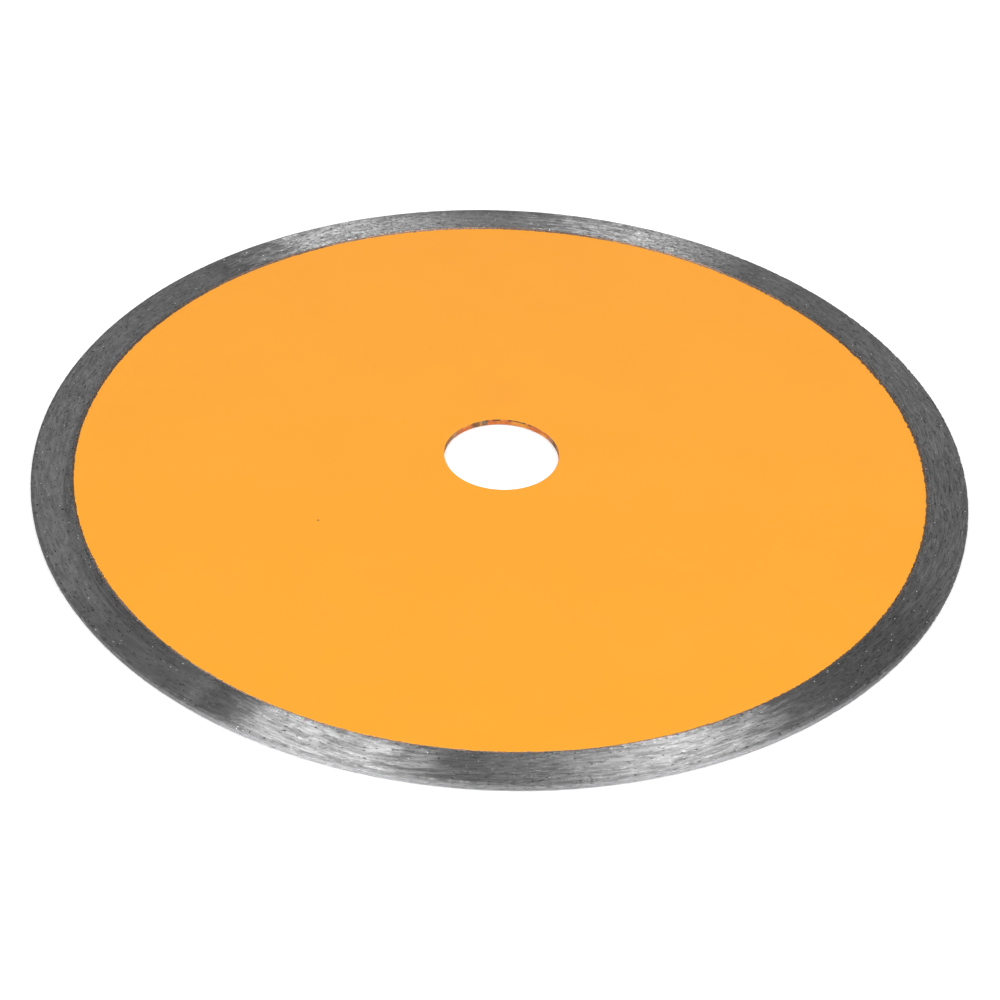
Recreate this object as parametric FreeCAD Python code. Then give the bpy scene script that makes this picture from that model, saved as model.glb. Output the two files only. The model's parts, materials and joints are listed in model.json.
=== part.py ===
import FreeCAD, Part

import os

# Continuous-rim cutting disc. A thin steel blank carries a sintered abrasive rim.
# The disc lies flat: its axis is +Z and the origin is the middle of the bore.
# Lengths are in millimetres.

# Blank
BORE_DIAMETER = 22.23
BORE_EDGE_BREAK = 0.1
CORE_THICKNESS = 1.2

# Rim
DISC_DIAMETER = 180.0
RIM_DEPTH = 8.0
RIM_SIDE_RELIEF = 0.2
RIM_SHOULDER_WIDTH = 0.3
RIM_CORNER_BREAK = 0.4

# Keyed joint between the two
KEY_COUNT = 36
KEY_SIDE_STEP = 0.1
KEY_ROOT_COVER = 0.5
KEY_LENGTH = 2.0
SLOT_MOUTH_WIDTH = 4.2
SLOT_FLOOR_WIDTH = 5.6
SLOT_CORNER_BREAK = 0.5

# Sizes worked out from those above
bore_radius = BORE_DIAMETER / 2
disc_radius = DISC_DIAMETER / 2
rim_inner_radius = disc_radius - RIM_DEPTH
rim_thickness = CORE_THICKNESS + 2 * RIM_SIDE_RELIEF
key_thickness = CORE_THICKNESS - 2 * KEY_SIDE_STEP
slot_floor_radius = rim_inner_radius + KEY_ROOT_COVER
key_tip_radius = slot_floor_radius + KEY_LENGTH


def point(x, y, z=0.0):
    return FreeCAD.Vector(x, y, z)


def centred_disc(radius, thickness):
    """Round plate that lies half above and half below the mid-plane."""
    return Part.makeCylinder(radius, thickness, point(0, 0, -thickness / 2))


def revolved(section_points):
    """Solid made by turning a closed section in the XZ plane once round the Z axis."""
    section = Part.Face(Part.makePolygon(section_points + section_points[:1]))
    return section.revolve(point(0, 0), point(0, 0, 1), 360)


def is_floor_corner(edge):
    """True for the two upright edges at the inner end of a slot that lies on +X."""
    first, last = edge.Vertexes[0].Point, edge.Vertexes[-1].Point
    upright = abs(first.z - last.z) > key_thickness / 2
    return upright and abs(first.x - slot_floor_radius) < KEY_LENGTH / 10


def dovetail_slot():
    """Cutter for one slot, on +X. It is widest at its floor, so the rim can't pull out."""
    past_tip = key_tip_radius + KEY_LENGTH
    taper = (SLOT_FLOOR_WIDTH - SLOT_MOUTH_WIDTH) / 2 / KEY_LENGTH
    floor_half_width = SLOT_FLOOR_WIDTH / 2
    outer_half_width = floor_half_width - taper * (past_tip - slot_floor_radius)
    base = -key_thickness / 2
    outline = Part.makePolygon([
        point(slot_floor_radius, -floor_half_width, base),
        point(past_tip, -outer_half_width, base),
        point(past_tip, outer_half_width, base),
        point(slot_floor_radius, floor_half_width, base),
        point(slot_floor_radius, -floor_half_width, base),
    ])
    slot = Part.Face(outline).extrude(point(0, 0, key_thickness))
    floor_corners = [edge for edge in slot.Edges if is_floor_corner(edge)]
    return slot.makeChamfer(SLOT_CORNER_BREAK, floor_corners)


def keyed_edge():
    """Thinner plate whose edge is slotted, which leaves the dovetail keys standing."""
    slots = []
    for index in range(KEY_COUNT):
        slot = dovetail_slot()
        slot.rotate(point(0, 0), point(0, 0, 1), 360 / KEY_COUNT * index)
        slots.append(slot)
    return centred_disc(key_tip_radius, key_thickness).cut(slots)


def keyed_blank():
    """Blank without its bore: the full-thickness body with the keyed edge round it."""
    return centred_disc(rim_inner_radius, CORE_THICKNESS).fuse(keyed_edge()).removeSplitter()


def arbor_bore():
    """Cutter for the arbor bore, with the small break of its two edges."""
    half = CORE_THICKNESS / 2
    wall_end = half - BORE_EDGE_BREAK
    mouth_radius = bore_radius + BORE_EDGE_BREAK
    return revolved([
        point(0, 0, -half),
        point(mouth_radius, 0, -half),
        point(bore_radius, 0, -wall_end),
        point(bore_radius, 0, wall_end),
        point(mouth_radius, 0, half),
        point(0, 0, half),
    ])


def steel_core():
    return keyed_blank().cut(arbor_bore())


def full_rim():
    """Rim before the blank is taken out of it: sloped shoulders and broken corners."""
    shoulder_start = CORE_THICKNESS / 2
    half = rim_thickness / 2
    shoulder_end = rim_inner_radius + RIM_SHOULDER_WIDTH
    corner_start = disc_radius - RIM_CORNER_BREAK
    wall_end = half - RIM_CORNER_BREAK
    return revolved([
        point(rim_inner_radius, 0, -shoulder_start),
        point(shoulder_end, 0, -half),
        point(corner_start, 0, -half),
        point(disc_radius, 0, -wall_end),
        point(disc_radius, 0, wall_end),
        point(corner_start, 0, half),
        point(shoulder_end, 0, half),
        point(rim_inner_radius, 0, shoulder_start),
    ])


def diamond_rim():
    """Sintered ring: it covers both sides of the keys and fills the slots between them."""
    return full_rim().cut(keyed_blank())


def export(node_name, shape):
    shape.exportStep(os.path.join("parts", node_name + ".step"))


os.makedirs("parts", exist_ok=True)
export("steel_core", steel_core())
export("diamond_rim", diamond_rim())
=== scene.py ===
import json
import math

import bpy
import numpy as np
from mathutils import Matrix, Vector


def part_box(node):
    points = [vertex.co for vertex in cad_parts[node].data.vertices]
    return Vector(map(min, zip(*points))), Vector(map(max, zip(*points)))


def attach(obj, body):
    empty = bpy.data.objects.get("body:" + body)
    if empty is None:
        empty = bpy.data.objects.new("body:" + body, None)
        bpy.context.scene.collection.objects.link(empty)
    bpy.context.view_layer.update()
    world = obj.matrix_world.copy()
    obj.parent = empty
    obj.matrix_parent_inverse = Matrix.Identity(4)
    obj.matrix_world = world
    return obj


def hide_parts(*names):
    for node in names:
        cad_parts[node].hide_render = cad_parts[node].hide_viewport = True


# Looks of the cutting disc: a painted steel blank and the ground sintered rim round it.
# The disc lies flat round the Z axis. Lengths are in metres and angles in degrees.

MM = 0.001
TOP, UNDERSIDE = 1, -1

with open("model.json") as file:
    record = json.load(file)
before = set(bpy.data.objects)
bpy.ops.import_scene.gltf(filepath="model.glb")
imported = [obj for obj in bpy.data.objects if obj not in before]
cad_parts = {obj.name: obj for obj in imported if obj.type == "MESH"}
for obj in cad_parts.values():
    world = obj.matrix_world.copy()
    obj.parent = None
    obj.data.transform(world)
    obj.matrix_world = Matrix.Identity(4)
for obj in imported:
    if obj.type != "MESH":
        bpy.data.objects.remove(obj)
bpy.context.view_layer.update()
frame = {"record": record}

# Sizes read from the frame
mounts = {mount["name"]: mount for mount in frame["record"]["mounts"]}
bore_radius = mounts["bore"]["dims"]["r_mm"] * MM
wall_half = mounts["bore"]["dims"]["length_mm"] * MM / 2
blank_half = mounts["flange_seat_top"]["pos_m"][2]
tongue_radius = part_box("steel_core")[1][0]
disc_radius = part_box("diamond_rim")[1][0]
rim_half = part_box("diamond_rim")[1][2]
bore_edge_break = blank_half - wall_half

# Forms of the blank
BLANK_SEED = 11
BLANK_STEPS = 2880
TONGUE_HALF = 0.5 * MM
PAINT_FILM = 0.04 * MM
PAINT_EDGE_WANDER = 0.14 * MM
PAINT_EDGE_TURNS = 900
PAINT_CHIP_COUNT = 420
PAINT_CHIP_DEPTH = 0.26 * MM
PAINT_CHIP_HALF_WIDTH = 0.35 * MM
PAINT_LEAST_CHIPPED = 0.35
BORE_WALL_SHARES = (0.33, 1.0)
BLANK_FACE_RADII = (11.6 * MM, 45 * MM, 80 * MM)
WALL, PAINT, SEAT = 0, 1, 2

# Forms of the rim
RIM_SEED = 23
RIM_STEPS = 2880
RIM_DEPTH = 8.0 * MM
SHOULDER_WIDTH = 0.3 * MM
SHOULDER_RAGGED = 0.07 * MM
SHOULDER_TURNS = 700
EDGE_ROUND = 0.6 * MM
EDGE_ARC_STEPS = 6
FACE_ROWS = 4
UNGROUND_WIDTH = 2.1 * MM
UNGROUND_DROP = 0.03 * MM
UNGROUND_MIDDLE = 200.0
UNGROUND_HALF_ARC = 40.0
CHIP_COUNT = 300
CHIP_DEPTH = 0.26 * MM
CHIP_HALF_WIDTH = 0.36 * MM
EDGE_ROUGH = 0.04 * MM
EDGE_ROUGH_TURNS = 1100
EDGE_LEAST_CHIPPED = 0.12
SEAM, GROUND, WORN = 0, 1, 2

# Chips of the paint and of the rim, which are most in one arc
CHIPPED_MIDDLE = 15.0
CHIPPED_HALF_ARC = 75.0
CHIP_WIDTH_SPREAD = (0.5, 1.6)
CHIP_DEPTH_SPREAD = (0.2, 1.0)
CHIP_DEPTH_POWER = 1.5

SHARP_ANGLE = 25.0

rim_inner_radius = disc_radius - RIM_DEPTH
unground_radius = rim_inner_radius + UNGROUND_WIDTH

# Camera, fitted to the outline of the disc and of its bore in the photograph
CAMERA_DISTANCE = 460.38 * MM
CAMERA_ELEVATION = 37.343
CAMERA_YAW = 0.012
CAMERA_PITCH = -1.054
CAMERA_ROLL = 2.548
SENSOR_WIDTH_MM = 36.0
PHOTO_SIDE_PIXELS = 1000
FOCAL_LENGTH_PIXELS = 2371.2
CAMERA_CLIP_START = 10 * MM

# Colours, linear
# The paint's front and back colours are painted light: yellower at the front, where more light
# falls, and more orange at the back, where less falls
PAINT_LIT_FRONT = (0.98, 0.401, 0.026)
PAINT_SHADED_BACK = (0.99, 0.388, 0.035)
PAINT_REDDER = (0.97, 0.355, 0.045)
PAINT_GLOSS = 0.15
ROUGH_GLOSS = 0.1
PAINT_RUN_RED = (0.72, 0.20, 0.06)
PAINT_STAIN = (0.31, 0.155, 0.095)
PAINT_RUN_PALE = (0.92, 0.37, 0.065)
DIRT = (0.30, 0.12, 0.03)
DARK_DIRT = (0.06, 0.04, 0.02)
STEEL_DARK = (0.09, 0.065, 0.04)
STEEL_PALE = (0.42, 0.36, 0.29)
SINTER_COLOUR = (0.129, 0.129, 0.129)
EDGE_COLOUR = (0.112, 0.112, 0.112)
WALL_COLOUR = (0.207, 0.207, 0.211)
PRESSED_COLOUR = (0.17, 0.13, 0.105)
PIT_COLOUR = (0.035, 0.035, 0.035)
GRIT_COLOUR = (0.75, 0.76, 0.78)

# A span holds the two values between which a ramp runs, here those of a noise.
NOISE_SPAN = (0.3, 0.7)
NARROW_SPAN = (0.35, 0.65)

# An arc holds its middle, the half arc in which it is full and the half arc at which it
# has faded out. Some have a fourth value, which is their strength or change of tone.

# Marks and grain of the paint
# A soft redder patch of the paint just behind the bore
REDDER_PATCH_PLACE = (-1 * MM, 20 * MM, blank_half)
REDDER_PATCH_RADIUS = 7 * MM
REDDER_PATCH_STRENGTH = 0.35
SPECK_PLACE = (-33.6 * MM, -22.9 * MM, blank_half)
SPECK_RADIUS = 0.3 * MM
SPECK_CORE = SPECK_RADIUS / 3
TONE_CLOUDS = 22 * MM
CLOUD_TONES = (0.985, 1.0)
SHEEN_CLOUDS = 9 * MM
PAINT_ROUGHNESS = (0.44, 0.54)
ORANGE_PEEL = 1.6 * MM
PEEL_BUMP = 0.002 * MM

# Bore wall
SCRATCHES = 0.5 * MM
SCRATCH_STRETCH = (1, 1, 0.2)
SCRATCH_BUMP = 0.03 * MM
PAINT_PATCHES = 2.5 * MM
PAINT_PATCH_SPAN = (0.42, 0.58)
BORE_ROUGHNESS = 0.6
DIRT_FILM_SPAN = (0.4, 0.6)
DIRT_FILM_SHARES = (0.2, 0.8)
DIRT_DASHES = 1.6 * MM
DIRT_DASH_SPAN = (0.50, 0.56)
ARRIS_SPAN = (0.6 * wall_half, 0.9 * wall_half)
DIRTY_ARCS = ((119, 2.5, 6), (163, 5, 14), (18, 6, 16))
ARRIS_DIRT_ARC = (84, 18, 34)
BARE_ARCS = ((155, 10, 20, 0.5), (118, 3, 6, 0.5), (109, 2, 4, 1.0), (23, 9, 16, 0.5))
BARE_BREAKS = (0.5, 1.3)

# Sectors of the ground faces, and the arcs of light and shade painted into their colour. The
# sectors where the lamps' gleam falls also get painted glitter of that gleam
STROKED_ARC = (-92, 38, 54)
LINED_ARC = (-4, 22, 38)
CALM_ARC = (210, 22, 36)
GLEAM_ARCS = ((-73, 11, 20), (248, 10, 18), (68, 8, 15), (112, 9, 18))
LIGHT_AND_SHADE_ARCS = (
    (-46, 4, 27, -0.34),
    (18, 8, 18, 0.14),
    (57.5, 2, 10, -0.30),
    (68, 13, 22, -0.04),
    (93, 3, 15, 0.28),
    (130.5, 2, 8.5, -0.40),
    (162, 6, 20, 0.14),
    (196, 5, 26, 0.28),
    (226, 3, 20, -0.08),
    (239, 2, 4, -0.34),
    (247, 3, 6, 0.12),
    (265, 3, 7, -0.22),
    (273, 2, 7, 0.10),
    (-82.5, 2.5, 7, 0.15),
    (-64, 3, 8, 0.12),
)

# Strokes of the sinter, each by its length along the circle and its width across it
SHORT_LINES = (1.3 * MM, 0.3 * MM)
LONG_LINES = (3.2 * MM, 0.40 * MM)
THIN_LINES = (4.0 * MM, 0.25 * MM)
SHORT_BANDS = (4.0 * MM, 0.7 * MM)
LONG_BANDS = (8.0 * MM, 1.1 * MM)
PATCHES = (2.8 * MM, 0.9 * MM)
CRACKS = (2.4 * MM, 0.24 * MM)
GRAINS = (0.8 * MM, 0.4 * MM)
HOLLOWS = (1.0 * MM, 0.34 * MM)

# Drift of the strokes off the circle, and shift of their noise from mid-plane to face
DRIFT_SPACING = 40 * MM
DRIFT_REACH = 6 * MM
LAYER_SHIFT = 9.0

# Darkest and palest tone of the fine lines in each sector
PLAIN_LINES = (0.85, 1.15)
# Stronger lines where the lamps' gleam falls are painted glitter of that gleam
GLEAM_LINES = (0.79, 1.21)
LINED_LINES = (0.76, 1.24)
CALM_LINES = (0.93, 1.07)

# Darkest and palest tone of the grains in each sector
PLAIN_GRAINS = (0.64, 1.34)
# Stronger grains where the lamps' gleam falls are painted glitter of that gleam; the outer
# corners and wall use the same pair all round
GLEAM_AND_WALL_GRAINS = (0.58, 1.42)
SMOOTH_GRAINS = (0.76, 1.20)
DARK_GRAIN_SPAN = (0.39, 0.31)
PALE_GRAIN_SPAN = (0.61, 0.69)

# Change of tone in the broad bands and the patches, and tone of the cracks
BAND_CHANGE = 0.05
BAND_CHANGE_LINED = 0.01
# Patches are painted only where the lamps' gleam falls, as glitter of that gleam
PATCH_CHANGE_GLEAM = 0.09
PATCH_SPAN = (0.46, 0.54)
CRACK_TONE = 0.52
CRACK_TONE_STROKED = 0.75
CRACK_TONE_CALM = 0.74
CRACK_SPAN = (0.61, 0.65)

# Dots painted where the lamps' gleam falls, outside the stroked sector, as glitter of that gleam
DOT_SIZE = 0.7 * MM
DARK_DOT_TONE = 0.55
PALE_DOT_TONE = 1.34
DARK_DOT_SPAN = (0.42, 0.32)
PALE_DOT_SPAN = (0.56, 0.66)

# Pits and diamond grit. A pit opens where the noise is above its start
PIT_START = 0.66
PIT_START_GLEAM_AND_WALL = 0.68
PIT_START_DOTTED = 0.63
PIT_EDGE = 0.05
PIT_DEPTH = 0.5
GRIT_SPACING = 1.2 * MM
GRIT_SPAN = (0.11, 0.05)
GRIT_SPARSE = 0.5
GRIT_SHOWN_GLEAM = 0.2

# Shape of the ground surface. The direction of its gleam is given in full turns
ALONG_THE_CIRCLE = 0.25
STROKE_SWING = 0.008
SWING_SPAN = (0.2, 0.8)
GROUND_ROUGHNESS = (0.45, 0.30)
GROUND_BUMP = 0.04 * MM

# Margin that the grinding missed, and the fringe beside the shoulder
NARROW_MARGIN = 1.2 * MM
MARGIN_SPREAD = 1.9 * MM
WIDE_MARGIN_ARC = (222, 5, 46)
MARGIN_ARC = (UNGROUND_MIDDLE, 18, UNGROUND_HALF_ARC)
MARGIN_BAYS = (9 * MM, 2 * MM)
MARGIN_BAY_DEPTH = 0.8 * MM
MARGIN_BLUR = 0.3 * MM
MARGIN_LINES = (40 * MM, 0.22 * MM)
MARGIN_TONES = (0.64, 0.87)
FRINGE_WIDTH = 1.3 * MM
FRINGE_TINTS = 0.3 * MM
FRINGE_BRIGHTNESS = 1.7
FRINGE_BREAKS = 7 * MM
FRINGE_BREAK_SPAN = (0.42, 0.6)
FRINGE_SHARES = (0.4, 1.0)
FRINGE_PATCHES = 0.4 * MM
FRINGE_TONES = (0.45, 1.6)

# Dull band along the outer edge at the back
DULL_EDGE_ARC = (88, 10, 32)
DULL_EDGE_WIDTH = 3.5 * MM
DULL_EDGE_TONE = 0.72

# Outer corners and outer wall, with painted light at the front and painted shade at the back
WALL_STROKES = (1.6 * MM, 0.3 * MM)
WALL_TONES = (0.72, 1.25)
WALL_BUMP = 0.05 * MM
WALL_METALLIC = 0.3
WALL_ROUGHNESS = 0.55
WALL_GLOSS = 0.2
CORNER_END = 0.92 * rim_half
WALL_START = 0.3 * rim_half
# Arc of painted light at the front, where the wall's paler colour reaches up over the corner
PAINTED_LIGHT_ARC = (-95, 30, 85)
UNLIT_WALL_SHARE = 0.25
CORNER_LIGHT_AND_SHADE_ARCS = ((-91, 19, 35, 0.5), (88, 8, 20, -0.35))
WALL_LIGHT_AND_SHADE_ARCS = ((-84, 28, 56, 0.44), (88, 8, 20, -0.35))
# Painted light that makes the foot of the wall paler at the front, against the shade by the floor
LIT_FOOT_ARC = (-90, 40, 75)
LIT_FOOT_SPAN = (-0.1 * rim_half, -0.8 * rim_half)
LIT_FOOT_TONE = 1.8

# Seam of blank and rim
SEAM_GRAINS = 0.35 * MM
SEAM_TONES = (0.5, 1.5)
SEAM_BUMP = 0.08 * MM
SEAM_ROUGHNESS = 0.75
SEAM_STAINS = 0.9 * MM
SEAM_STAIN_SPAN = (0.40, 0.64)
SEAM_STAIN_SHARE = 0.45
# Painted light on the seam at the front and where the lamps' gleam falls, and painted shade at
# the two sides
SEAM_LIGHT_AND_SHADE_ARCS = (
    (-90, 25, 45, 0.6),
    (245, 12, 20, 0.3),
    (66, 6, 14, 0.8),
    (106, 8, 16, 0.8),
    (-10, 40, 62, -0.4),
    (172, 20, 42, -0.5),
)

# Light
WORLD_FILL = 0.39
RIGHT_LAMP_PLACE = (0.74, -0.44, 1.30)
LEFT_LAMP_PLACE = (-0.68, -0.68, 1.30)
LAMP_SIZE = (0.90, 0.40)
RIGHT_LAMP_POWER = 9.5
RIGHT_GLEAM_POWER = 56.0
LEFT_LAMP_POWER = 10.6
LEFT_GLEAM_POWER = 70.0
FLOOR_SIDE = 1.6
FLOOR_COLOUR = (0.8, 0.8, 0.8, 1)
FLOOR_GLOW = 0.44


def circle(steps):
    """Angles in radians of evenly spaced points round the disc."""
    return np.arange(steps) * (2 * math.pi / steps)


def wander(rng, angles, turns, depth):
    """Smooth random line round the disc, within plus or minus depth, with so many turns."""
    values = rng.uniform(-depth, depth, turns)
    place = angles / (2 * math.pi) * turns
    before = np.floor(place).astype(int)
    share = place - before
    share = share * share * (3 - 2 * share)
    return values[before % turns] * (1 - share) + values[(before + 1) % turns] * share


def arc_weight(angles, middle, half_arc):
    """One near the middle angle, falling evenly to nothing half an arc away from it."""
    away = np.abs((np.degrees(angles) - middle + 180) % 360 - 180)
    return np.clip(1.5 - 1.5 * away / half_arc, 0, 1)


def chips(rng, angles, radius, count, depth, half_width):
    """Depth of small random chips along an edge at that radius."""
    result = np.zeros(len(angles))
    for middle in rng.uniform(0, 2 * math.pi, count):
        away = np.abs((angles - middle + math.pi) % (2 * math.pi) - math.pi) * radius
        width = half_width * rng.uniform(*CHIP_WIDTH_SPREAD)
        shape = np.clip(1 - (away / width) ** 2, 0, 1)
        deepest = depth * rng.uniform(*CHIP_DEPTH_SPREAD) ** CHIP_DEPTH_POWER
        result = np.maximum(result, shape * deepest)
    return result


def more_chipped(angles, least):
    """One in the arc with the most chips, and the least share on the far side."""
    return least + (1 - least) * arc_weight(angles, CHIPPED_MIDDLE, CHIPPED_HALF_ARC)


def faces_between(count, steps):
    """Quads between neighbouring rings, with the last ring joined to the first."""
    ring, step = np.meshgrid(np.arange(count), np.arange(steps), indexing="ij")
    next_ring = (ring + 1) % count
    next_step = (step + 1) % steps
    corners = [
        ring * steps + step,
        ring * steps + next_step,
        next_ring * steps + next_step,
        next_ring * steps + step,
    ]
    return np.stack(corners, axis=-1).reshape(-1, 4)


def turned_mesh(name, angles, rings, material_of_band):
    """Closed mesh through rings of (radius, height); each may vary with the angle."""
    steps = len(angles)
    radius = np.array([np.broadcast_to(ring[0], steps) for ring in rings])
    height = np.array([np.broadcast_to(ring[1], steps) for ring in rings])
    points = np.stack([radius * np.cos(angles), radius * np.sin(angles), height], axis=-1)
    faces = faces_between(len(rings), steps)
    mesh = bpy.data.meshes.new(name)
    mesh.from_pydata(points.reshape(-1, 3).tolist(), [], faces.tolist())
    mesh.polygons.foreach_set("material_index", np.repeat(material_of_band, steps))
    mesh.polygons.foreach_set("use_smooth", np.ones(len(faces), dtype=bool))
    mesh.set_sharp_from_angle(angle=math.radians(SHARP_ANGLE))
    mesh.update()
    piece = bpy.data.objects.new(name, mesh)
    bpy.context.collection.objects.link(piece)
    return piece


def blank_half_rings(rng, angles, side):
    """Rings of one half of the blank, from its bore wall out to the tongue in the rim."""
    wobble = wander(rng, angles, PAINT_EDGE_TURNS, PAINT_EDGE_WANDER / 2)
    chipped = chips(
        rng, angles, rim_inner_radius, PAINT_CHIP_COUNT, PAINT_CHIP_DEPTH, PAINT_CHIP_HALF_WIDTH
    )
    chipped *= more_chipped(angles, PAINT_LEAST_CHIPPED)
    paint_edge = rim_inner_radius - PAINT_EDGE_WANDER / 2 + wobble - chipped
    steel_height = blank_half - PAINT_FILM
    rings = [(bore_radius, side * wall_half * share) for share in BORE_WALL_SHARES]
    rings.append((bore_radius + bore_edge_break, side * blank_half))
    for radius in BLANK_FACE_RADII:
        rings.append((radius, side * blank_half))
    rings.append((paint_edge - PAINT_FILM, side * blank_half))
    rings.append((paint_edge, side * steel_height))
    rings.append((rim_inner_radius, side * steel_height))
    rings.append((rim_inner_radius, side * TONGUE_HALF))
    rings.append((tongue_radius, side * TONGUE_HALF))
    return rings


def painted_core():
    """The blank: bare bore wall and rim seat, painted faces with a ragged masked edge."""
    rng = np.random.default_rng(BLANK_SEED)
    angles = circle(BLANK_STEPS)
    top = blank_half_rings(rng, angles, TOP)
    underside = blank_half_rings(rng, angles, UNDERSIDE)
    half_bands = [WALL] * 2 + [PAINT] * (len(BLANK_FACE_RADII) + 2) + [SEAT] * 3
    bands = half_bands + [SEAT] + half_bands[::-1] + [WALL]
    piece = turned_mesh("painted_core", angles, top + underside[::-1], bands)
    for material in (bore_steel(), orange_paint(), dark_seam("blank_seam")):
        piece.data.materials.append(material)
    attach(piece, "root")
    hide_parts("steel_core")


def rim_half_rings(rng, angles, side):
    """Rings of one half of the rim, from its groove over the side face to the outer wall."""
    ragged = wander(rng, angles, SHOULDER_TURNS, SHOULDER_RAGGED)
    face_start = rim_inner_radius + SHOULDER_WIDTH + SHOULDER_RAGGED
    face_end = disc_radius - EDGE_ROUND
    margin = arc_weight(angles, UNGROUND_MIDDLE, UNGROUND_HALF_ARC) * UNGROUND_DROP
    rings = [
        (tongue_radius, side * TONGUE_HALF),
        (rim_inner_radius, side * TONGUE_HALF),
        (rim_inner_radius, side * blank_half),
        (rim_inner_radius + SHOULDER_WIDTH / 2 + ragged / 2, side * (blank_half + rim_half) / 2),
        (face_start + ragged, side * (rim_half - margin)),
    ]
    for row in range(1, FACE_ROWS + 1):
        radius = face_start + (face_end - face_start) * row / (FACE_ROWS + 1)
        below = np.clip((unground_radius - radius) / MM, 0, 1)
        rings.append((radius + ragged * 0.5 ** row, side * (rim_half - margin * below)))
    return rings + edge_arc_rings(rng, angles, face_end, side)


def edge_arc_rings(rng, angles, face_end, side):
    """Rings of one rounded outer corner, chipped at the corner and, apart, at the wall."""
    wear_and_light = more_chipped(angles, EDGE_LEAST_CHIPPED)
    corner, wall = (
        wear_and_light * chips(rng, angles, disc_radius, CHIP_COUNT, CHIP_DEPTH, CHIP_HALF_WIDTH)
        for _ in range(2)
    )
    rings = []
    for step in range(EDGE_ARC_STEPS + 1):
        turn = math.radians(90 * step / EDGE_ARC_STEPS)
        radius = face_end + EDGE_ROUND * math.sin(turn)
        height = rim_half - EDGE_ROUND + EDGE_ROUND * math.cos(turn)
        rough = (1 + wander(rng, angles, EDGE_ROUGH_TURNS, 1.0)) * EDGE_ROUGH / 2
        bite = corner * math.sin(2 * turn) + wall * max(0, -math.cos(2 * turn)) + rough * wear_and_light
        bite *= math.sin(turn)
        rings.append((radius - bite, side * (height - bite / 2 * math.cos(turn))))
    return rings


def sintered_rim():
    """The abrasive ring: sloped shoulders, ground side faces, and round outer corners with wear.
    """
    rng = np.random.default_rng(RIM_SEED)
    angles = circle(RIM_STEPS)
    top = rim_half_rings(rng, angles, TOP)
    underside = rim_half_rings(rng, angles, UNDERSIDE)
    rings = top + underside[::-1]
    half_bands = [SEAM] * 4 + [GROUND] * (FACE_ROWS + 1) + [WORN] * EDGE_ARC_STEPS
    bands = half_bands + [WORN] + half_bands[::-1] + [SEAM]
    piece = turned_mesh("sintered_rim", angles, rings, bands)
    for material in (dark_seam("rim_seam"), ground_sinter(), worn_sinter_with_painted_light()):
        piece.data.materials.append(material)
    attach(piece, "root")
    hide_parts("diamond_rim")


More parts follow.
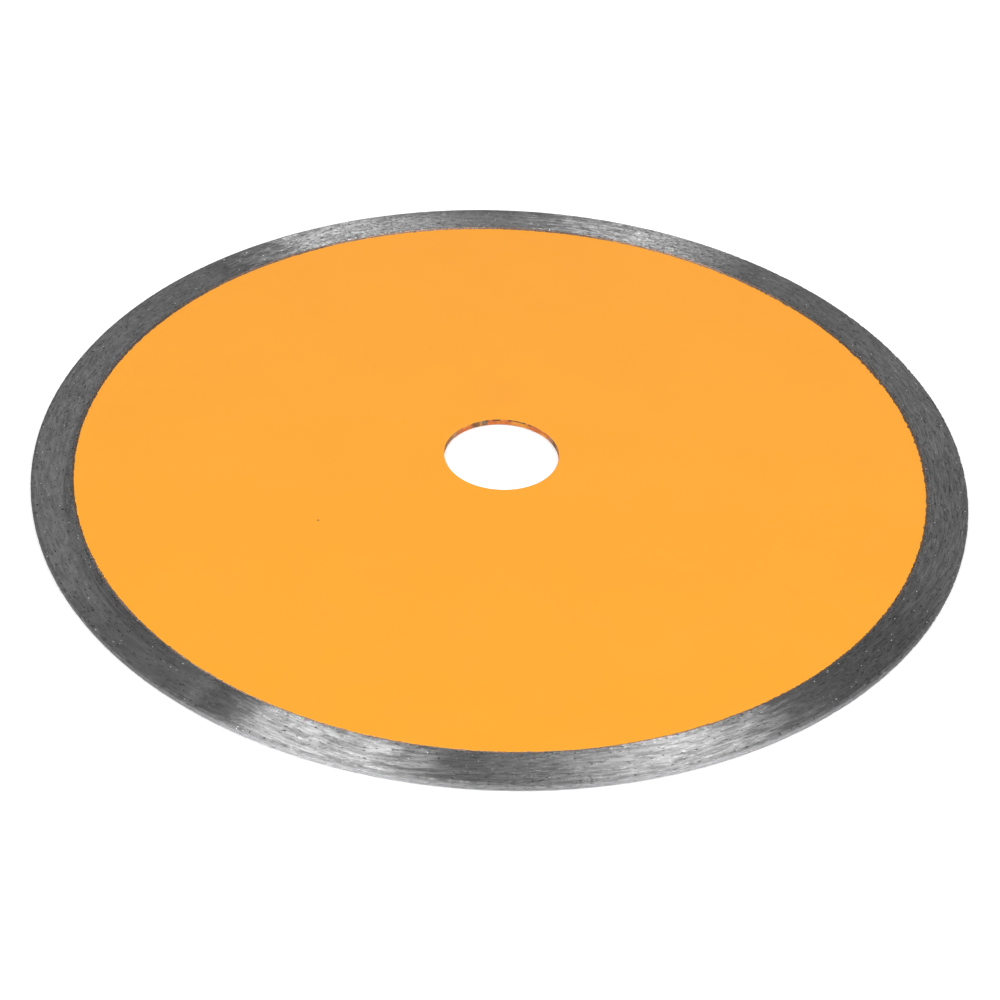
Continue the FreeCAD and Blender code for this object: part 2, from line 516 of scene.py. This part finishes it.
class Wiring:
    """Adds nodes to one material. An input is given as a number, a colour or a socket."""

    def __init__(self, name):
        self.material = bpy.data.materials.new(name)
        self.material.use_nodes = True
        self.tree = self.material.node_tree
        self.surface = self.tree.nodes["Principled BSDF"]
        self.place = self.add("ShaderNodeTexCoord").outputs["Object"]
        parts = self.add("ShaderNodeSeparateXYZ", {0: self.place}).outputs
        flat = self.add("ShaderNodeCombineXYZ", {0: parts[0], 1: parts[1]}).outputs[0]
        self.radius = self.vector("LENGTH", flat).outputs["Value"]
        self.outwards = self.vector("NORMALIZE", flat).outputs["Vector"]
        self.rearward = parts[1]
        self.height = parts[2]

    def put(self, node, key, value):
        """Sets one input of a node, or links a socket to it."""
        if isinstance(value, bpy.types.NodeSocket):
            self.tree.links.new(value, node.inputs[key])
        else:
            node.inputs[key].default_value = value

    def add(self, kind, inputs=(), **settings):
        """New node of that kind, with its inputs and settings."""
        node = self.tree.nodes.new(kind)
        for key, value in settings.items():
            setattr(node, key, value)
        for key, value in dict(inputs).items():
            self.put(node, key, value)
        return node

    def finish_with(self, **inputs):
        """Sets inputs of the surface shader; an underscore stands for a space in a name."""
        for key, value in inputs.items():
            self.put(self.surface, key.replace("_", " "), value)
        return self.material

    def math(self, operation, *values):
        """Result of one sum on numbers."""
        return self.add("ShaderNodeMath", dict(enumerate(values)), operation=operation).outputs[0]

    def vector(self, operation, *values):
        """Node of one sum on vectors; its result is a Value or a Vector."""
        return self.add("ShaderNodeVectorMath", dict(enumerate(values)), operation=operation)

    def ramp(self, value, start, end, low=0.0, high=1.0):
        """Goes smoothly from low to high as the value goes from start to end."""
        inputs = {0: value, 1: start, 2: end, 3: low, 4: high}
        return self.add("ShaderNodeMapRange", inputs, interpolation_type="SMOOTHSTEP").outputs[0]

    def where(self, share, elsewhere, there):
        """One value where the share is nothing, going over to another where it is one."""
        return self.ramp(share, 0, 1, elsewhere, there)

    def around_one(self, value, start, end, change):
        """Factor that goes from one less the change to one plus the change."""
        share = self.ramp(value, start, end, -1.0, 1.0)
        return self.math("ADD", 1.0, self.math("MULTIPLY", share, change))

    def mix(self, share, first, second):
        """Mix of two colours."""
        node = self.add("ShaderNodeMix", {0: share}, data_type="RGBA")
        for key, colour in ((6, first), (7, second)):
            linked = isinstance(colour, bpy.types.NodeSocket)
            self.put(node, key, colour if linked else (*colour, 1))
        return node.outputs[2]

    def shade(self, colour, *factors):
        """Colour times grey factors."""
        for factor in factors:
            node = self.add("ShaderNodeVectorMath", operation="SCALE")
            self.put(node, 0, colour)
            self.put(node, "Scale", factor)
            colour = node.outputs["Vector"]
        return colour

    def grain(self, place, size=1.0, detail=2.0):
        """Noise round 0.5, with features of that size."""
        inputs = {"Vector": place, "Scale": 1 / size, "Detail": detail}
        return self.add("ShaderNodeTexNoise", inputs).outputs["Fac"]

    def strokes(self, length, width, drift=0.0, detail=2.0, swing=1.0):
        """Noise in strokes of that length along the circle and that width across it."""
        along = self.shade(self.outwards, disc_radius / length)
        across = self.math("DIVIDE", self.math("ADD", self.radius, drift), width)
        layer = self.math("MULTIPLY", self.height, LAYER_SHIFT / rim_half)
        third = self.math("ADD", across, layer)
        lift = self.add("ShaderNodeCombineXYZ", {2: third}).outputs[0]
        place = self.vector("ADD", along, lift).outputs["Vector"]
        return self.math("MULTIPLY", self.grain(place, detail=detail), swing)

    def facing(self, angle, full_arc, end_arc):
        """One within an arc round the angle, falling smoothly to nothing at its end."""
        turn = math.radians(angle)
        direction = (math.cos(turn), math.sin(turn), 0)
        along = self.vector("DOT_PRODUCT", self.outwards, direction).outputs["Value"]
        return self.ramp(along, math.cos(math.radians(end_arc)), math.cos(math.radians(full_arc)))

    def circular_tangent(self):
        """Direction along the circle round the disc's axis."""
        return self.add("ShaderNodeTangent", direction_type="RADIAL", axis="Z").outputs[0]

    def any_arc(self, arcs):
        """One within any of the arcs, each given as its middle, half arc and end half arc."""
        share = 0.0
        for arc in arcs:
            share = self.math("MAXIMUM", share, self.facing(*arc))
        return share

    def tone(self, arcs):
        """Factor of one that changes within each arc, whose last value is the change."""
        total = 1.0
        for middle, full_arc, end_arc, change in arcs:
            part = self.math("MULTIPLY", self.facing(middle, full_arc, end_arc), change)
            total = self.math("ADD", total, part)
        return total

    def bump(self, height, distance):
        """Normal of an uneven surface, where a height of one is that distance."""
        inputs = {"Height": height, "Distance": distance, "Strength": 1.0}
        return self.add("ShaderNodeBump", inputs).outputs[0]


def orange_paint():
    """Smooth satin paint: orange peel, painted light that makes it yellower at the front than at
    the back, a redder patch and a speck of dirt.
    """
    wiring = Wiring("orange_paint")
    # Painted light: the paint goes from its well lit front colour to its less lit back colour
    painted_falloff = wiring.ramp(wiring.rearward, -rim_inner_radius, rim_inner_radius)
    colour = wiring.mix(painted_falloff, PAINT_LIT_FRONT, PAINT_SHADED_BACK)
    clouds = wiring.grain(wiring.place, TONE_CLOUDS)
    colour = wiring.shade(colour, wiring.ramp(clouds, *NOISE_SPAN, *CLOUD_TONES))
    # A soft redder patch of the paint just behind the bore
    to_redder_patch = wiring.vector("DISTANCE", wiring.place, REDDER_PATCH_PLACE).outputs["Value"]
    redder_patch = wiring.ramp(to_redder_patch, REDDER_PATCH_RADIUS, 0, 0, REDDER_PATCH_STRENGTH)
    colour = wiring.mix(redder_patch, colour, PAINT_REDDER)
    to_speck = wiring.vector("DISTANCE", wiring.place, SPECK_PLACE).outputs["Value"]
    speck = wiring.ramp(to_speck, SPECK_RADIUS, SPECK_CORE)
    colour = wiring.mix(speck, colour, DIRT)
    sheen = wiring.grain(wiring.place, SHEEN_CLOUDS)
    peel = wiring.grain(wiring.place, ORANGE_PEEL, detail=1.0)
    return wiring.finish_with(
        Base_Color=colour,
        Roughness=wiring.ramp(sheen, *NOISE_SPAN, *PAINT_ROUGHNESS),
        Specular_IOR_Level=PAINT_GLOSS,
        Normal=wiring.bump(peel, PEEL_BUMP),
    )


def bare_steel(wiring, scratches):
    """Share of bare steel on the bore wall, broken up by the scratches."""
    bare = 0.0
    for middle, full_arc, end_arc, bareness in BARE_ARCS:
        arc = wiring.math("MULTIPLY", wiring.facing(middle, full_arc, end_arc), bareness)
        bare = wiring.math("MAXIMUM", bare, arc)
    broken = wiring.ramp(scratches, *NOISE_SPAN, *BARE_BREAKS)
    return wiring.math("MINIMUM", wiring.math("MULTIPLY", bare, broken), 1.0)


def bore_dirt(wiring, patches):
    """Share of dirt: a film in a few arcs of the wall, and dashes along its upper edge."""
    patchy = wiring.ramp(patches, *DIRT_FILM_SPAN, *DIRT_FILM_SHARES)
    film = wiring.math("MULTIPLY", wiring.any_arc(DIRTY_ARCS), patchy)
    arris = wiring.ramp(wiring.height, *ARRIS_SPAN)
    dashes = wiring.ramp(wiring.grain(wiring.place, DIRT_DASHES), *DIRT_DASH_SPAN)
    dashes = wiring.math("MULTIPLY", dashes, wiring.facing(*ARRIS_DIRT_ARC))
    return wiring.math("MAXIMUM", film, wiring.math("MULTIPLY", arris, dashes))


def bore_steel():
    """Punched steel of the bore wall, with paint run over it."""
    wiring = Wiring("bore_steel")
    upright = wiring.vector("MULTIPLY", wiring.place, SCRATCH_STRETCH).outputs["Vector"]
    scratches = wiring.grain(upright, SCRATCHES)
    steel = wiring.mix(wiring.ramp(scratches, *NARROW_SPAN), STEEL_DARK, STEEL_PALE)
    patches = wiring.grain(wiring.place, PAINT_PATCHES)
    run_share = wiring.ramp(patches, *PAINT_PATCH_SPAN)
    run_paint = wiring.mix(run_share, PAINT_RUN_RED, PAINT_RUN_PALE)
    colour = wiring.mix(bare_steel(wiring, scratches), run_paint, steel)
    return wiring.finish_with(
        Base_Color=wiring.mix(bore_dirt(wiring, patches), colour, DARK_DIRT),
        Roughness=BORE_ROUGHNESS,
        Specular_IOR_Level=ROUGH_GLOSS,
        Normal=wiring.bump(scratches, SCRATCH_BUMP),
    )


class Sectors:
    """How far a point of the ground faces lies in each kind of sector, from none to one."""

    def __init__(self, wiring):
        self.stroked = wiring.facing(*STROKED_ARC)
        self.lined = wiring.facing(*LINED_ARC)
        self.calm = wiring.facing(*CALM_ARC)
        self.smooth = wiring.any_arc((CALM_ARC, LINED_ARC))
        # Sectors where the lamps' gleam falls, which get painted glitter of that gleam
        self.coarse = wiring.any_arc(GLEAM_ARCS)
        unstroked = wiring.math("SUBTRACT", 1.0, self.stroked)
        self.dotted = wiring.math("MULTIPLY", self.coarse, unstroked)


def tones_by_sector(wiring, plain, *others):
    """Darkest and palest tone: the plain pair, or another pair where its share is one."""
    darkest, palest = plain
    for share, (other_darkest, other_palest) in others:
        darkest = wiring.where(share, darkest, other_darkest)
        palest = wiring.where(share, palest, other_palest)
    return darkest, palest


def unground_margin(wiring):
    """Factor that darkens the margin which the grinding missed, with fine concentric lines."""
    narrow = rim_inner_radius + NARROW_MARGIN
    spread = wiring.math("MULTIPLY", wiring.facing(*WIDE_MARGIN_ARC), MARGIN_SPREAD)
    ragged = wiring.strokes(*MARGIN_BAYS, detail=1.0, swing=MARGIN_BAY_DEPTH)
    edge = wiring.math("SUBTRACT", wiring.math("ADD", wiring.radius, ragged), spread)
    inside = wiring.ramp(edge, narrow + MARGIN_BLUR, narrow - MARGIN_BLUR)
    share = wiring.math("MULTIPLY", inside, wiring.facing(*MARGIN_ARC))
    lines = wiring.ramp(wiring.strokes(*MARGIN_LINES), *NARROW_SPAN, *MARGIN_TONES)
    drop = wiring.math("MULTIPLY", share, wiring.math("SUBTRACT", 1.0, lines))
    return wiring.math("SUBTRACT", 1.0, drop)


def stroke_tones(wiring, sectors, drift, fine, broad):
    """Factors of the fine lines, the broad bands and the patches of the ground faces."""
    darkest, palest = tones_by_sector(
        wiring,
        PLAIN_LINES,
        (sectors.coarse, GLEAM_LINES),
        (sectors.lined, LINED_LINES),
        (sectors.calm, CALM_LINES),
    )
    lines = wiring.ramp(fine, *NOISE_SPAN, darkest, palest)
    band_change = wiring.where(sectors.lined, BAND_CHANGE, BAND_CHANGE_LINED)
    bands = wiring.around_one(broad, *NOISE_SPAN, band_change)
    # Painted glitter: the patches show only where the lamps' gleam falls
    patch_change = wiring.where(sectors.coarse, 0.0, PATCH_CHANGE_GLEAM)
    patches = wiring.strokes(*PATCHES, drift, detail=1.0)
    return lines, bands, wiring.around_one(patches, *PATCH_SPAN, patch_change)


def mark_tones(wiring, sectors, drift):
    """Factors of the cracks, and of the dark and pale dots painted as glitter where the lamps'
    gleam falls.
    """
    crack_tone = wiring.where(sectors.stroked, CRACK_TONE, CRACK_TONE_STROKED)
    crack_tone = wiring.where(sectors.calm, crack_tone, CRACK_TONE_CALM)
    cracks = wiring.ramp(wiring.strokes(*CRACKS, drift), *CRACK_SPAN, 1.0, crack_tone)
    dots = wiring.grain(wiring.place, DOT_SIZE)
    pale_tone = wiring.where(sectors.dotted, 1.0, PALE_DOT_TONE)
    dark_tone = wiring.where(sectors.dotted, 1.0, DARK_DOT_TONE)
    pale_dots = wiring.ramp(dots, *PALE_DOT_SPAN, 1.0, pale_tone)
    dark_dots = wiring.ramp(dots, *DARK_DOT_SPAN, 1.0, dark_tone)
    return cracks, pale_dots, dark_dots


def dull_edge(wiring):
    """Factor that darkens the outermost band of the ground faces at the back."""
    start, end = disc_radius - DULL_EDGE_WIDTH, disc_radius - EDGE_ROUND
    outermost = wiring.ramp(wiring.radius, start, end)
    share = wiring.math("MULTIPLY", outermost, wiring.facing(*DULL_EDGE_ARC))
    return wiring.where(share, 1.0, DULL_EDGE_TONE)


def sinter_fringe(wiring, colour):
    """Mottles the band beside the shoulder, where the grinding only just reached."""
    ground_from = rim_inner_radius + SHOULDER_WIDTH + FRINGE_WIDTH
    share = wiring.ramp(wiring.radius, ground_from, ground_from - FRINGE_WIDTH)
    breaks = wiring.grain(wiring.place, FRINGE_BREAKS)
    broken = wiring.ramp(breaks, *FRINGE_BREAK_SPAN, *FRINGE_SHARES)
    share = wiring.math("MULTIPLY", share, broken)
    inputs = {"Vector": wiring.place, "Scale": 1 / FRINGE_TINTS, "Detail": 1.0}
    tints = wiring.add("ShaderNodeTexNoise", inputs).outputs["Color"]
    tinted = wiring.vector("MULTIPLY", colour, tints).outputs["Vector"]
    patches = wiring.grain(wiring.place, FRINGE_PATCHES)
    patchy = wiring.ramp(patches, *NARROW_SPAN, *FRINGE_TONES)
    return wiring.mix(share, colour, wiring.shade(tinted, FRINGE_BRIGHTNESS, patchy))


def open_pits(wiring, pit_start):
    """Share of the open pits: the hollows in which the noise is above the start."""
    above = wiring.math("SUBTRACT", wiring.strokes(*HOLLOWS, detail=1.0), pit_start)
    return wiring.ramp(above, 0.0, PIT_EDGE)


def diamond_grit(wiring, shown):
    """Share of the diamond grit: a point in the middle of some cells of a fine pattern."""
    spacing = {"Vector": wiring.place, "Scale": 1 / GRIT_SPACING}
    cells = wiring.add("ShaderNodeTexVoronoi", spacing).outputs
    near = wiring.ramp(cells["Distance"], *GRIT_SPAN)
    chance = wiring.add("ShaderNodeSeparateColor", {0: cells["Color"]}).outputs[0]
    chosen = wiring.math("GREATER_THAN", chance, GRIT_SPARSE)
    return wiring.math("MULTIPLY", wiring.math("MULTIPLY", near, chosen), shown)


def speckled(wiring, colour, grain_tones, pits, grit):
    """The colour with fine dark and pale grains, the dark pits and the pale diamond grit."""
    darkest, palest = grain_tones
    grains = wiring.strokes(*GRAINS)
    pale_grains = wiring.ramp(grains, *PALE_GRAIN_SPAN, 1.0, palest)
    dark_grains = wiring.ramp(grains, *DARK_GRAIN_SPAN, 1.0, darkest)
    colour = wiring.mix(pits, wiring.shade(colour, pale_grains, dark_grains), PIT_COLOUR)
    return wiring.mix(grit, colour, GRIT_COLOUR)


def ground_colour(wiring, sectors, drift, fine, broad, pits):
    """Colour of the ground faces, from the painted light and shade of their sectors down to the
    grit.
    """
    # Painted light and shade: the colour is paler and darker in arcs round the rim, where the
    # lamps' gleam falls or misses
    colour = wiring.shade(SINTER_COLOUR, wiring.tone(LIGHT_AND_SHADE_ARCS), unground_margin(wiring))
    colour = wiring.shade(colour, *stroke_tones(wiring, sectors, drift, fine, broad))
    colour = wiring.shade(colour, *mark_tones(wiring, sectors, drift), dull_edge(wiring))
    colour = sinter_fringe(wiring, colour)
    grain_tones = tones_by_sector(
        wiring, PLAIN_GRAINS, (sectors.coarse, GLEAM_AND_WALL_GRAINS), (sectors.smooth, SMOOTH_GRAINS)
    )
    grit = diamond_grit(wiring, wiring.where(sectors.coarse, 1.0, GRIT_SHOWN_GLEAM))
    return speckled(wiring, colour, grain_tones, pits, grit)


def ground_sinter():
    """Side faces of the rim: sinter ground in strokes along the circle, with open pits."""
    wiring = Wiring("ground_sinter")
    sectors = Sectors(wiring)
    wide_noise = wiring.grain(wiring.place, DRIFT_SPACING, detail=0.0)
    drift = wiring.math("MULTIPLY", wide_noise, DRIFT_REACH)
    lines = wiring.strokes(*LONG_LINES, drift)
    fine = wiring.where(sectors.stroked, wiring.strokes(*SHORT_LINES, drift), lines)
    fine = wiring.where(sectors.lined, fine, wiring.strokes(*THIN_LINES, drift))
    short_bands = wiring.strokes(*SHORT_BANDS, drift, detail=1.0)
    long_bands = wiring.strokes(*LONG_BANDS, drift, detail=1.0)
    broad = wiring.where(sectors.stroked, short_bands, long_bands)
    pit_start = wiring.where(sectors.coarse, PIT_START, PIT_START_GLEAM_AND_WALL)
    pits = open_pits(wiring, wiring.where(sectors.dotted, pit_start, PIT_START_DOTTED))
    turns = (ALONG_THE_CIRCLE - STROKE_SWING, ALONG_THE_CIRCLE + STROKE_SWING)
    height = wiring.math("SUBTRACT", lines, wiring.math("MULTIPLY", pits, PIT_DEPTH))
    return wiring.finish_with(
        Base_Color=ground_colour(wiring, sectors, drift, fine, broad, pits),
        Metallic=1.0,
        Roughness=wiring.ramp(broad, *NOISE_SPAN, *GROUND_ROUGHNESS),
        Anisotropic=1.0,
        Anisotropic_Rotation=wiring.ramp(broad, *SWING_SPAN, *turns),
        Tangent=wiring.circular_tangent(),
        Normal=wiring.bump(height, GROUND_BUMP),
    )


def painted_light_at_foot(wiring):
    """Factor of painted light that makes the foot of the outer wall paler at the front, where it
    lies in shade by the floor.
    """
    low = wiring.ramp(wiring.height, *LIT_FOOT_SPAN)
    share = wiring.math("MULTIPLY", low, wiring.facing(*LIT_FOOT_ARC))
    return wiring.where(share, 1.0, LIT_FOOT_TONE)


def worn_sinter_with_painted_light():
    """Rounded outer corners and outer wall of the rim: rough, with painted light that makes them
    paler at the front and painted shade that makes them darker at the back.
    """
    wiring = Wiring("worn_sinter_with_painted_light")
    # Painted light and shade: the corner and the wall are paler at the front and darker at the
    # back
    corner = wiring.shade(EDGE_COLOUR, wiring.tone(CORNER_LIGHT_AND_SHADE_ARCS))
    wall = wiring.shade(WALL_COLOUR, wiring.tone(WALL_LIGHT_AND_SHADE_ARCS), painted_light_at_foot(wiring))
    below_corner = wiring.ramp(wiring.height, CORNER_END, WALL_START)
    # Painted light: at the front the wall's paler colour reaches up over the corner
    wear_and_light = wiring.where(wiring.facing(*PAINTED_LIGHT_ARC), UNLIT_WALL_SHARE, 1.0)
    colour = wiring.mix(wiring.math("MULTIPLY", below_corner, wear_and_light), corner, wall)
    strokes = wiring.strokes(*WALL_STROKES)
    colour = wiring.shade(colour, wiring.ramp(strokes, *NOISE_SPAN, *WALL_TONES))
    pits = open_pits(wiring, PIT_START_GLEAM_AND_WALL)
    return wiring.finish_with(
        Base_Color=speckled(wiring, colour, GLEAM_AND_WALL_GRAINS, pits, diamond_grit(wiring, 1.0)),
        Metallic=WALL_METALLIC,
        Roughness=WALL_ROUGHNESS,
        Specular_IOR_Level=WALL_GLOSS,
        Anisotropic=1.0,
        Anisotropic_Rotation=ALONG_THE_CIRCLE,
        Tangent=wiring.circular_tangent(),
        Normal=wiring.bump(strokes, WALL_BUMP),
    )


def dark_seam(name):
    """Seam of blank and rim, with the sloped shoulder: dark, rough and touched with paint, with
    painted light and shade by arc.
    """
    wiring = Wiring(name)
    stains = wiring.grain(wiring.place, SEAM_STAINS)
    stained = wiring.ramp(stains, *SEAM_STAIN_SPAN, 0.0, SEAM_STAIN_SHARE)
    colour = wiring.mix(stained, PRESSED_COLOUR, PAINT_STAIN)
    grains = wiring.grain(wiring.place, SEAM_GRAINS)
    grain_tone = wiring.ramp(grains, *NOISE_SPAN, *SEAM_TONES)
    # Painted light and shade by arc over the seam's own colour
    return wiring.finish_with(
        Base_Color=wiring.shade(colour, wiring.tone(SEAM_LIGHT_AND_SHADE_ARCS), grain_tone),
        Roughness=SEAM_ROUGHNESS,
        Specular_IOR_Level=ROUGH_GLOSS,
        Normal=wiring.bump(grains, SEAM_BUMP),
    )


def seen_directly(tree):
    """One for a ray from the camera, off a glossy surface or through glass, else nothing."""
    rays = tree.nodes.new("ShaderNodeLightPath").outputs
    total = rays["Is Camera Ray"]
    for name in ("Is Glossy Ray", "Is Transmission Ray"):
        add = tree.nodes.new("ShaderNodeMath")
        add.operation = "ADD"
        add.use_clamp = True
        tree.links.new(total, add.inputs[0])
        tree.links.new(rays[name], add.inputs[1])
        total = add.outputs[0]
    return total


def soft_world():
    """White to the eye and in reflections, and a weaker fill light on the object."""
    world = bpy.data.worlds.new("studio")
    world.use_nodes = True
    bpy.context.scene.world = world
    tree = world.node_tree
    background = tree.nodes["Background"]
    background.inputs["Color"].default_value = (1, 1, 1, 1)
    strength = tree.nodes.new("ShaderNodeMapRange")
    tree.links.new(seen_directly(tree), strength.inputs["Value"])
    strength.inputs["To Min"].default_value = WORLD_FILL
    strength.inputs["To Max"].default_value = 1.0
    tree.links.new(strength.outputs[0], background.inputs["Strength"])


def pale_floor():
    """Pale floor under the rim. It glows enough to look white, and keeps the shadow."""
    half = FLOOR_SIDE / 2
    corners = [(-half, -half, -rim_half), (half, -half, -rim_half)]
    corners += [(half, half, -rim_half), (-half, half, -rim_half)]
    mesh = bpy.data.meshes.new("floor")
    mesh.from_pydata(corners, [], [(0, 1, 2, 3)])
    floor = bpy.data.objects.new("floor", mesh)
    bpy.context.collection.objects.link(floor)
    material = bpy.data.materials.new("floor")
    material.use_nodes = True
    tree = material.node_tree
    surface = tree.nodes["Principled BSDF"]
    surface.inputs["Base Color"].default_value = FLOOR_COLOUR
    surface.inputs["Roughness"].default_value = 1.0
    surface.inputs["Specular IOR Level"].default_value = 0.0
    surface.inputs["Emission Color"].default_value = (1, 1, 1, 1)
    glow = tree.nodes.new("ShaderNodeMath")
    glow.operation = "MULTIPLY"
    tree.links.new(seen_directly(tree), glow.inputs[0])
    glow.inputs[1].default_value = FLOOR_GLOW
    tree.links.new(glow.outputs[0], surface.inputs["Emission Strength"])
    mesh.materials.append(material)


def area_lamp(name, place, power):
    """Flat soft lamp that faces the disc's middle."""
    lamp = bpy.data.lights.new(name, "AREA")
    lamp.shape = "RECTANGLE"
    lamp.size, lamp.size_y = LAMP_SIZE
    lamp.energy = power
    holder = bpy.data.objects.new(name, lamp)
    holder.location = place
    holder.rotation_euler = holder.location.to_track_quat("Z", "Y").to_euler()
    bpy.context.collection.objects.link(holder)
    return holder


def soft_lamps():
    """Two soft lamps high over the disc, each with a gleam that only gloss reflects.

    Each side's pair brightens the ground rim in two sectors that lie opposite each other.
    """
    area_lamp("right_lamp", RIGHT_LAMP_PLACE, RIGHT_LAMP_POWER)
    area_lamp("left_lamp", LEFT_LAMP_PLACE, LEFT_LAMP_POWER)
    for gleam in (
        area_lamp("right_gleam", RIGHT_LAMP_PLACE, RIGHT_GLEAM_POWER),
        area_lamp("left_gleam", LEFT_LAMP_PLACE, LEFT_GLEAM_POWER),
    ):
        gleam.visible_diffuse = False


def photo_camera():
    """Camera that frames the disc as the photograph does."""
    camera = bpy.data.cameras.new("camera")
    camera.sensor_width = SENSOR_WIDTH_MM
    camera.lens = FOCAL_LENGTH_PIXELS * SENSOR_WIDTH_MM / PHOTO_SIDE_PIXELS
    camera.clip_start = CAMERA_CLIP_START
    holder = bpy.data.objects.new("camera", camera)
    elevation = math.radians(CAMERA_ELEVATION)
    turn = Matrix.Rotation(math.pi / 2 - elevation, 4, "X")
    turn @= Matrix.Rotation(math.radians(-CAMERA_YAW), 4, "Y")
    turn @= Matrix.Rotation(math.radians(CAMERA_PITCH), 4, "X")
    turn @= Matrix.Rotation(math.radians(CAMERA_ROLL), 4, "Z")
    place = (0, -CAMERA_DISTANCE * math.cos(elevation), CAMERA_DISTANCE * math.sin(elevation))
    holder.matrix_world = Matrix.Translation(place) @ turn
    bpy.context.collection.objects.link(holder)
    bpy.context.scene.camera = holder


photo_camera()
soft_world()
soft_lamps()
pale_floor()
painted_core()
sintered_rim()
bpy.context.scene.view_settings.view_transform = "Standard"
